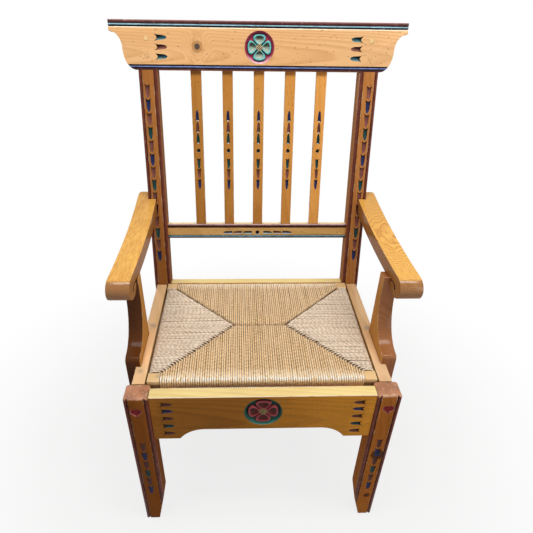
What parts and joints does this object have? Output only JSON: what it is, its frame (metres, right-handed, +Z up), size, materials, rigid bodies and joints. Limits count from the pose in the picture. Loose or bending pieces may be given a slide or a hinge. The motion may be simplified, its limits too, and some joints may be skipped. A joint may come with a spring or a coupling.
{
  "type": "painted armchair",
  "caption": "Painted pine armchair with a raked slatted back, carved flower on crest and apron, rolled falling arms and a drop-in rush seat that lifts out",
  "frame": {"origin": "centre of the bounding box at the floor, under the middle of the chair", "axes": "+X to the right seen from the front, +Y from the front legs to the back, +Z up"},
  "size_m": [0.689, 0.5785, 1.0707],
  "materials": {
    "honey_pine": "honey coloured lacquer over pine, with painted beads and motifs, worn at the edges",
    "dark_pine": "brown stained and lacquered pine",
    "pale_wood": "plain wood, lightly oiled",
    "rush": "twisted rush cord, matt",
    "screw_steel": "plain steel"
  },
  "bodies": {
    "frame": {"left_front_leg": "honey_pine", "right_front_leg": "honey_pine", "front_apron": "honey_pine", "left_side_rail": "honey_pine", "right_side_rail": "honey_pine", "rear_seat_rail": "honey_pine", "left_front_corner_block": "pale_wood", "right_front_corner_block": "pale_wood", "left_rear_corner_block": "pale_wood", "right_rear_corner_block": "pale_wood", "left_back_post": "honey_pine", "right_back_post": "honey_pine", "crest_rail": "honey_pine", "lower_back_rail": "honey_pine", "back_slat_1": "honey_pine", "back_slat_2": "honey_pine", "back_slat_3": "honey_pine", "back_slat_4": "honey_pine", "back_slat_5": "honey_pine", "left_lower_peg": "pale_wood", "left_upper_peg": "pale_wood", "right_lower_peg": "pale_wood", "right_upper_peg": "pale_wood", "left_arm": "honey_pine", "right_arm": "honey_pine", "left_arm_support": "dark_pine", "right_arm_support": "dark_pine", "left_arm_dowel": "pale_wood", "right_arm_dowel": "pale_wood", "left_arm_plug": "honey_pine", "right_arm_plug": "honey_pine", "left_arm_screw": "screw_steel", "right_arm_screw": "screw_steel", "left_support_screw_1": "screw_steel", "left_support_screw_2": "screw_steel", "right_support_screw_1": "screw_steel", "right_support_screw_2": "screw_steel"},
    "seat": {"rush_weave": "rush", "seat_front_rail": "pale_wood", "seat_rear_rail": "pale_wood", "seat_left_rail": "pale_wood", "seat_right_rail": "pale_wood", "seat_left_front_corner": "pale_wood", "seat_right_front_corner": "pale_wood", "seat_left_rear_corner": "pale_wood", "seat_right_rear_corner": "pale_wood"}
  },
  "joints": [
    {"name": "seat_lift", "type": "slide", "parent": "frame", "child": "seat", "axis": [0, 0, 1], "range_m": [0, 0.3]}
  ]
}
